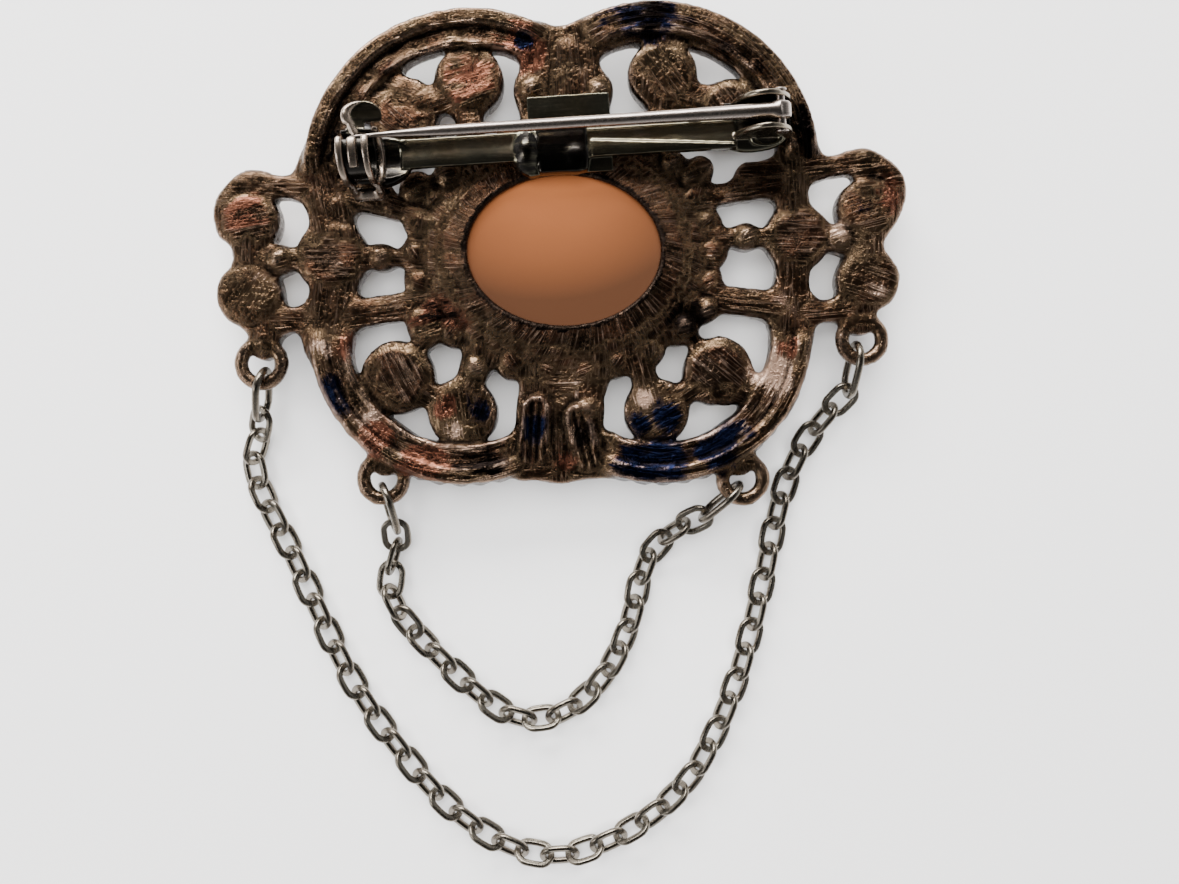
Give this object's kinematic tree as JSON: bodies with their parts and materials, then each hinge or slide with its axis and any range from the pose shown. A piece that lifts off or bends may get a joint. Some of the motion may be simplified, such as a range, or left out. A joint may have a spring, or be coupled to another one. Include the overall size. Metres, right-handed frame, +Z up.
{
  "type": "brooch",
  "caption": "Openwork cast brooch with faux pearls in closed cups, a hinged pin with a turning safety lock on its back, and two draped chains; lies face down.",
  "frame": {"origin": "middle of the outline on the floor, chains included, brooch lying on its front", "axes": "+X to the picture's right along the pin, +Y to its top, away from the chains, +Z up out of the back"},
  "size_m": [0.067, 0.0857, 0.0132],
  "materials": {
    "cast_metal": "satin, darkened, brushed by hand",
    "stem_metal": "polished, darkened",
    "chain_metal": "polished, darkened",
    "pearl": "pearly",
    "pearl_back": "satin"
  },
  "bodies": {
    "brooch": {"brooch_frame": "cast_metal", "pearl_oval": "pearl_back", "pearl_top_left_inner": "pearl", "pearl_top_left_outer": "pearl", "pearl_top_right_inner": "pearl", "pearl_top_right_outer": "pearl", "pearl_left_wing_upper": "pearl", "pearl_left_wing_lower": "pearl", "pearl_left_wing_inner": "pearl", "pearl_right_wing_upper": "pearl", "pearl_right_wing_lower": "pearl", "pearl_right_wing_inner": "pearl", "pearl_low_left_outer": "pearl", "pearl_low_left_inner": "pearl", "pearl_low_right_outer": "pearl", "pearl_low_right_inner": "pearl", "hinge_rivet": "stem_metal", "jump_link_outer_left": "chain_metal", "jump_link_outer_right": "chain_metal", "jump_link_inner_left": "chain_metal", "jump_link_inner_right": "chain_metal", "chain_outer": "chain_metal", "chain_inner": "chain_metal"},
    "pin": {"pin_stem": "stem_metal"},
    "lock": {"catch_lock": "stem_metal"}
  },
  "joints": [
    {"name": "pin_hinge", "type": "hinge", "parent": "brooch", "child": "pin", "pos_m": [0.02075, 0.03083, 0.0101], "axis": [-0.0628, 0.998, 0], "range_deg": [0, 100]},
    {"name": "catch_turn", "type": "hinge", "parent": "brooch", "child": "lock", "pos_m": [-0.01877, 0.02664, 0.0103], "axis": [0.998, 0.0628, 0], "range_deg": [0, 62]}
  ]
}
